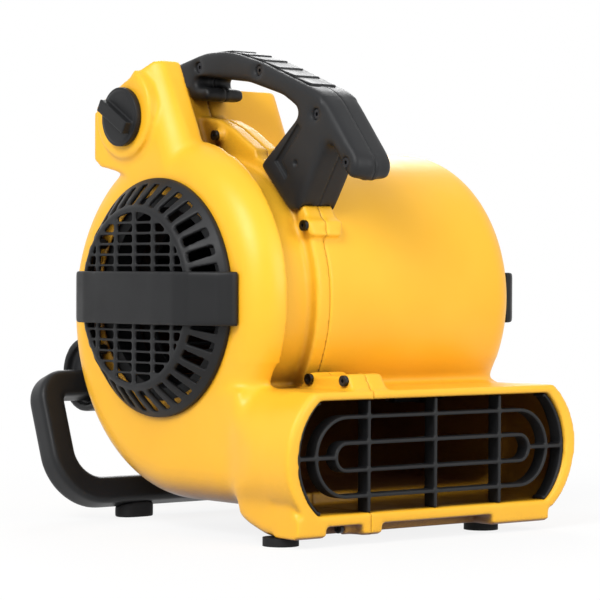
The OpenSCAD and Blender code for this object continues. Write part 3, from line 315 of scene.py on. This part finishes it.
# %% Soften the two housing halves
SHELL_VOXEL = 1.5 * MM
SHELL_FACES = 180000
SHELL_PASSES = 9
SEAM_STRIP = 2.5 * MM  # left crisp on each side of the seam
SHELL_SEAM = 1.1 * MM  # what lies closer to the seam is flattened onto it
DUCT_PASSES = 90  # extra smoothing where the duct's shoulders leave the drum
DUCT_FROM_SEAM = 36 * MM
DUCT_Y = (-122 * MM, -66 * MM)  # in front of the impeller's axis
DUCT_TOP = 118 * MM
POD_PASSES = 16  # extra smoothing where the pod leaves the cap
POD_FROM_SEAM = 11 * MM
POD_Y = (-50 * MM, 70 * MM)
POD_Z = (234 * MM, 262 * MM)


def thin_out(piece, limit):
    triangles = sum(len(p.vertices) - 2 for p in piece.data.polygons)
    if triangles > limit:
        apply_modifier(piece, "DECIMATE", ratio=limit / triangles)


def close_seam(piece, reach):
    # Flattens what lies next to the seam onto its plane, so that the two halves meet in a fine line
    bpy.ops.object.mode_set(mode="EDIT")
    bpy.ops.mesh.select_mode(type="VERT")
    bpy.ops.mesh.select_all(action="DESELECT")
    bpy.ops.object.mode_set(mode="OBJECT")
    for vertex in piece.data.vertices:
        vertex.select = abs(vertex.co.x - SEAM_X) < reach
    bpy.ops.object.mode_set(mode="EDIT")
    bpy.ops.transform.resize(value=(0, 1, 1), center_override=(SEAM_X, 0, 0))
    bpy.ops.object.mode_set(mode="OBJECT")


def duct_side(co):
    y = co.y - AXIS_Y
    return abs(co.x - SEAM_X) > DUCT_FROM_SEAM and DUCT_Y[0] < y < DUCT_Y[1] and co.z < DUCT_TOP


def pod_foot(co):
    y = co.y - AXIS_Y
    return POD_Z[0] < co.z < POD_Z[1] and POD_Y[0] < y < POD_Y[1] and co.x < SEAM_X - POD_FROM_SEAM


def soften_shell(node, name):
    piece = merged_copy(node, name)
    apply_modifier(piece, "REMESH", mode="VOXEL", voxel_size=SHELL_VOXEL)
    body = mark(piece, "away_from_seam", lambda co: abs(co.x - SEAM_X) > SEAM_STRIP)
    smooth(piece, SHELL_PASSES, body)
    smooth(piece, DUCT_PASSES, mark(piece, "duct_blend", duct_side))
    smooth(piece, POD_PASSES, mark(piece, "pod_blend", pod_foot))
    close_seam(piece, SHELL_SEAM)
    thin_out(piece, SHELL_FACES)
    dress(piece, "housing", "housing_plastic", yellow_plastic, node)


soften_shell("left_shell", "left_housing_half")
soften_shell("right_shell", "right_housing_half")

# %% [markdown]
# ## Inlet grilles and their bands
# The fins between the grille's slots have round edges, which catch the light as thin lines. The arched band has
# softer corners still. Both come from the same remesh with a finer voxel.

# %% Grilles and bands
GRILLE_VOXEL = 0.8 * MM
BAND_VOXEL = 1.0 * MM
MOUTH_VOXEL = 0.7 * MM


def soften(node, name, voxel, passes, limit, slot="black_plastic", material=black_plastic, body="housing"):
    # limit: the most triangles that the piece may keep
    piece = merged_copy(node, name)
    apply_modifier(piece, "REMESH", mode="VOXEL", voxel_size=voxel)
    smooth(piece, passes)
    thin_out(piece, limit)
    dress(piece, body, slot, material, node)


soften("left_inlet_grille", "left_grille", GRILLE_VOXEL, 3, 120000)
soften("right_inlet_grille", "right_grille", GRILLE_VOXEL, 3, 90000)
soften("left_band", "left_grille_band", BAND_VOXEL, 22, 50000)
soften("right_band", "right_grille_band", BAND_VOXEL, 22, 50000)
soften("outlet_grille", "mouth_grille", MOUTH_VOXEL, 3, 90000)

# %% [markdown]
# ## Knob, stand and pads
# The knob, the bent stand and the soft pads are rounded by the same recipe. Each rides on its own body, so that it
# turns or folds with it.

# %% Knob, stand and pads
FINE_VOXEL = 0.5 * MM
PAD_VOXEL = 0.8 * MM
STAND_VOXEL = 1.2 * MM
soften("speed_knob", "knob_with_grip", FINE_VOXEL, 6, 40000, body="knob")
soften("stand_bail", "bent_stand", STAND_VOXEL, 12, 80000, "coated_steel", powder_coat, "stand")
soften("stand_pads", "rounded_stand_pads", PAD_VOXEL, 14, 20000, "soft_rubber", soft_rubber, "stand")
soften("grip_pad", "grip_treads", FINE_VOXEL, 4, 40000, "soft_rubber", handle_plastic)

# %% [markdown]
# ## The handle
# The handle is screwed together from two hollow halves. Its outer corners are generously round, and only the
# seam stays crisp. The same remesh serves, with its strong smoothing held to the outer sides. The screw pockets
# and the chevron recess would melt with them, so they are cut again afterwards with sharp cutters.

# %% Handle halves
HANDLE_VOXEL = 1.0 * MM
HANDLE_PASSES = 90
TIP_PASSES = 110
TIP_Y = -112 * MM  # from the impeller's axis; the tip's extra rounding starts here
HANDLE_FLAT = 4 * MM  # stays crisp this far from the seam
HANDLE_SEAM = 0.8 * MM
HANDLE_SIDE = SEAM_X - 17 * MM
SCREW_SPOTS = ((23.2, 322.7), (-44.8, 316.7), (-106, 284), (-136, 251))  # (y, z) in mm from the axis and the floor
POCKET_R = 3.9 * MM
POCKET_DEPTH = 4.6 * MM


def handle_tip(co):
    return co.y - AXIS_Y < TIP_Y and abs(co.x - SEAM_X) > HANDLE_FLAT


def soften_handle(node, name):
    piece = merged_copy(node, name)
    apply_modifier(piece, "REMESH", mode="VOXEL", voxel_size=HANDLE_VOXEL)
    smooth(piece, HANDLE_PASSES, mark(piece, "outer_side", lambda co: abs(co.x - SEAM_X) > HANDLE_FLAT))
    smooth(piece, TIP_PASSES, mark(piece, "tip", handle_tip))
    close_seam(piece, HANDLE_SEAM)
    return piece


def cut(piece, cutter):
    apply_modifier(piece, "BOOLEAN", operation="DIFFERENCE", object=cutter, solver="EXACT")
    bpy.data.objects.remove(cutter)


handle_left = soften_handle("handle_left_half", "handle_left")
handle_right = soften_handle("handle_right_half", "handle_right")



def drill(piece, y, z, radius, depth, sides):
    # A round pocket in the handle's left side
    bpy.ops.mesh.primitive_cylinder_add(
        radius=radius, depth=2 * depth, vertices=sides, rotation=(0, math.pi / 2, 0),
        location=(HANDLE_SIDE, AXIS_Y + y * MM, z * MM))
    cut(piece, bpy.context.object)


for y, z in SCREW_SPOTS:
    drill(handle_left, y, z, POCKET_R, POCKET_DEPTH, 40)

# %% The chevron recess and its small hole
CHEVRON = ((-88, 275), (-67.5, 254), (-75.5, 245))  # (y, z) in mm, as for the screws
CHEVRON_WIDTH = 5.5
CHEVRON_DEPTH = 2.4
CHEVRON_ROUND = 1.2 * MM
SMALL_HOLE = (-86.5, 252)
SMALL_HOLE_R = 2.4 * MM
SMALL_HOLE_DEPTH = 4 * MM


def recess_bar(start, end):
    # A bar from one point of the handle's left side to another
    (y0, z0), (y1, z1) = start, end
    length = math.hypot(y1 - y0, z1 - z0) + CHEVRON_WIDTH
    bpy.ops.mesh.primitive_cube_add(size=1, location=(0, 0, 0))
    bar = bpy.context.object
    bar.scale = (2 * CHEVRON_DEPTH * MM, length * MM, CHEVRON_WIDTH * MM)
    bar.rotation_euler = (math.atan2(z1 - z0, y1 - y0), 0, 0)
    bar.location = (HANDLE_SIDE, AXIS_Y + (y0 + y1) / 2 * MM, (z0 + z1) / 2 * MM)
    bpy.ops.object.transform_apply(location=True, rotation=True, scale=True)
    apply_modifier(bar, "BEVEL", width=CHEVRON_ROUND, segments=3)
    return bar


for start, end in zip(CHEVRON, CHEVRON[1:]):
    cut(handle_left, recess_bar(start, end))
drill(handle_left, *SMALL_HOLE, SMALL_HOLE_R, SMALL_HOLE_DEPTH, 32)

dress(handle_left, "housing", "black_plastic", handle_plastic, "handle_left_half")
dress(handle_right, "housing", "black_plastic", handle_plastic, "handle_right_half")

# %% [markdown]
# ## Floor and light
# The photograph has a white studio sweep. The floor is white to the camera and still takes a soft shadow, and
# the world shows white behind the machine. Three large soft lamps do the modelling: one from the upper left
# of the camera, a weaker one from the right and one behind.

# %% What the camera and mirrors see
def seen_or_mirrored(nodes, links):
    # 1 for a ray from the camera, from a glossy surface or through glass, and 0 for one that only lights
    path = nodes.new("ShaderNodeLightPath")
    total = path.outputs["Is Camera Ray"]
    for kind in ("Is Glossy Ray", "Is Transmission Ray"):
        either = nodes.new("ShaderNodeMath")
        either.operation = "MAXIMUM"
        links.new(total, either.inputs[0])
        links.new(path.outputs[kind], either.inputs[1])
        total = either.outputs[0]
    return total


# %% Floor
FLOOR_SIZE = 12
WHITE_NEAR = 0.86  # share of plain white in the floor next to the machine; the rest takes its shadow
SHADOW_REACH = (0.35, 1.1)  # metres from the middle, over which the floor turns all white
bpy.ops.mesh.primitive_plane_add(size=FLOOR_SIZE)
floor = bpy.context.object
floor.name = "studio_floor"

floor_paint = bpy.data.materials.new("floor_paint")
floor_paint.use_nodes = True
nodes = floor_paint.node_tree.nodes
links = floor_paint.node_tree.links
matt = nodes["Principled BSDF"]
matt.inputs["Base Color"].default_value = (0.86, 0.86, 0.86, 1)
matt.inputs["Roughness"].default_value = 0.9
matt.inputs["Specular IOR Level"].default_value = 0.1  # almost no gloss
white = nodes.new("ShaderNodeEmission")
white.inputs["Color"].default_value = (1, 1, 1, 1)
white.inputs["Strength"].default_value = 1.0
place = nodes.new("ShaderNodeTexCoord")
away = nodes.new("ShaderNodeVectorMath")
away.operation = "LENGTH"
links.new(place.outputs["Object"], away.inputs[0])
whiten = nodes.new("ShaderNodeMapRange")
whiten.inputs["From Min"].default_value = SHADOW_REACH[0]
whiten.inputs["From Max"].default_value = SHADOW_REACH[1]
whiten.inputs["To Min"].default_value = WHITE_NEAR
links.new(away.outputs["Value"], whiten.inputs["Value"])
share = nodes.new("ShaderNodeMath")
share.operation = "MULTIPLY"
mixed = nodes.new("ShaderNodeMixShader")
links.new(seen_or_mirrored(nodes, links), share.inputs[0])
links.new(whiten.outputs["Result"], share.inputs[1])
links.new(share.outputs[0], mixed.inputs["Fac"])
links.new(matt.outputs[0], mixed.inputs[1])
links.new(white.outputs[0], mixed.inputs[2])
links.new(mixed.outputs[0], nodes["Material Output"].inputs["Surface"])
wear(floor, floor_paint)

# %% World
WORLD_LIGHT = 0.55
world = bpy.data.worlds.new("studio")
bpy.context.scene.world = world
world.use_nodes = True
nodes = world.node_tree.nodes
links = world.node_tree.links
soft = nodes["Background"]
soft.inputs["Color"].default_value = (1, 1, 1, 1)
soft.inputs["Strength"].default_value = WORLD_LIGHT
backdrop = nodes.new("ShaderNodeBackground")
backdrop.inputs["Color"].default_value = (1, 1, 1, 1)
backdrop.inputs["Strength"].default_value = 1.0
mixed = nodes.new("ShaderNodeMixShader")
links.new(seen_or_mirrored(nodes, links), mixed.inputs["Fac"])
links.new(soft.outputs[0], mixed.inputs[1])
links.new(backdrop.outputs[0], mixed.inputs[2])
links.new(mixed.outputs[0], nodes["World Output"].inputs["Surface"])


# %% Lamps
def softbox(name, at, aim, size, watts, tint=(1, 1, 1)):
    bpy.ops.object.light_add(type="AREA", location=at)
    lamp = bpy.context.object
    lamp.name = name
    lamp.data.size = size
    lamp.data.energy = watts
    lamp.data.color = tint
    lamp.rotation_euler = (Vector(aim) - Vector(at)).to_track_quat("-Z", "Y").to_euler()
    return lamp


MIDDLE = (0, 0, 0.16)
softbox("key_softbox", (-1.7, -0.7, 1.5), MIDDLE, 0.9, 34)
softbox("front_softbox", (0.4, -2.2, 0.9), MIDDLE, 1.2, 18)
softbox("rear_softbox", (1.2, 1.4, 1.3), MIDDLE, 0.9, 16)

bpy.context.scene.view_settings.view_transform = "Standard"
